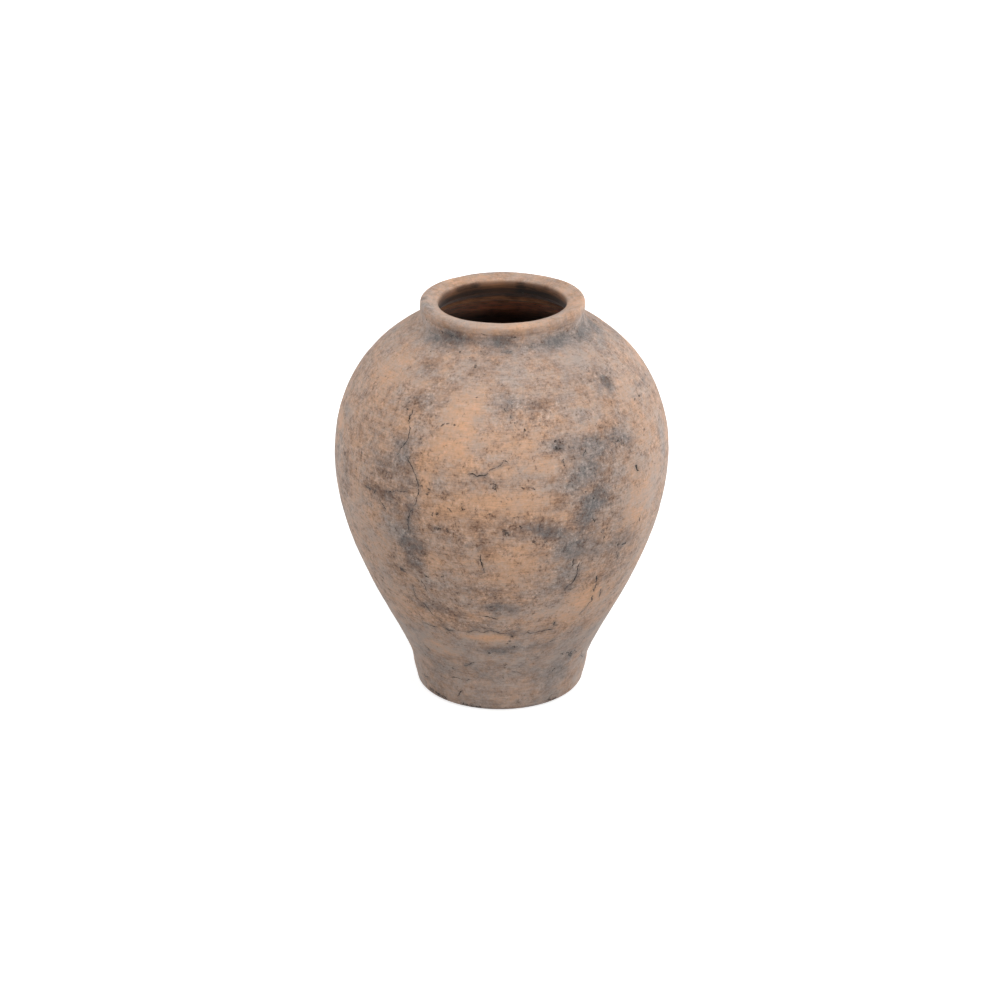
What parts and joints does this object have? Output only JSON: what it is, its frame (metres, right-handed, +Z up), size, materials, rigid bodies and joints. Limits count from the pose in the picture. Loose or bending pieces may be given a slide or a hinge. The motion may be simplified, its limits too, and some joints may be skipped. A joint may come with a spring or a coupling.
{
  "type": "terracotta vase",
  "caption": "Wide-shouldered terracotta jar with a narrow foot, a short neck and a thick rolled lip, open inside, built of thrown sections with keyed and luted seams.",
  "frame": {"origin": "centre of the flat base, on the surface that the jar stands on", "axes": "+Z up along the axis of the jar; the side shown in the picture faces -Y"},
  "size_m": [0.324, 0.324, 0.399],
  "materials": {
    "body_clay": "dry unglazed terracotta, smoke-stained, pitted and finely cracked",
    "lip_clay": "dry unglazed terracotta, rubbed pale",
    "neck_clay": "dry unglazed terracotta, stained blue-grey by smoke",
    "foot_clay": "dry unglazed terracotta, dulled with soil, chipped at the edge",
    "inner_clay": "raw brown terracotta with throwing rings"
  },
  "bodies": {
    "root": {"floor_slab": "foot_clay", "foot_wall": "foot_clay", "lower_body": "body_clay", "upper_body": "body_clay", "neck_collar": "neck_clay", "lip_coil": "lip_clay", "floor_seam_coil": "inner_clay", "waist_seam_coil": "inner_clay", "belly_seam_coil": "inner_clay", "neck_seam_coil": "inner_clay"}
  },
  "joints": []
}
